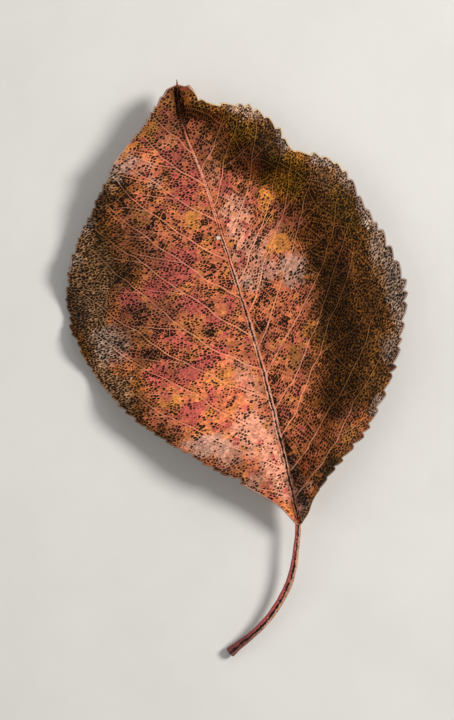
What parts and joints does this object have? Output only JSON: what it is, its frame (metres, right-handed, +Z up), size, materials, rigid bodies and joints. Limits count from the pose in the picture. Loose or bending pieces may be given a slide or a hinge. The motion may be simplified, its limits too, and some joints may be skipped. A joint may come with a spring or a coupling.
{
  "type": "beech leaf",
  "caption": "Dried autumn leaf with a curled oval blade, raised midrib and side veins, toothed margin and curved stalk; decorative natural item.",
  "frame": {"origin": "middle of the leaf's footprint, on the ground that it lies on", "axes": "+Y from the blade's base to its tip, +Z up from the leaf's upper side, +X to the right of the midrib as seen from above with the tip away from the viewer"},
  "size_m": [0.059, 0.0996, 0.0098],
  "materials": {
    "dry_leaf": "dry semi-matt leaf skin with a fine raised vein net, coral to brown, silvery at the margins"
  },
  "bodies": {
    "root": {"leaf": "dry_leaf"}
  },
  "joints": []
}
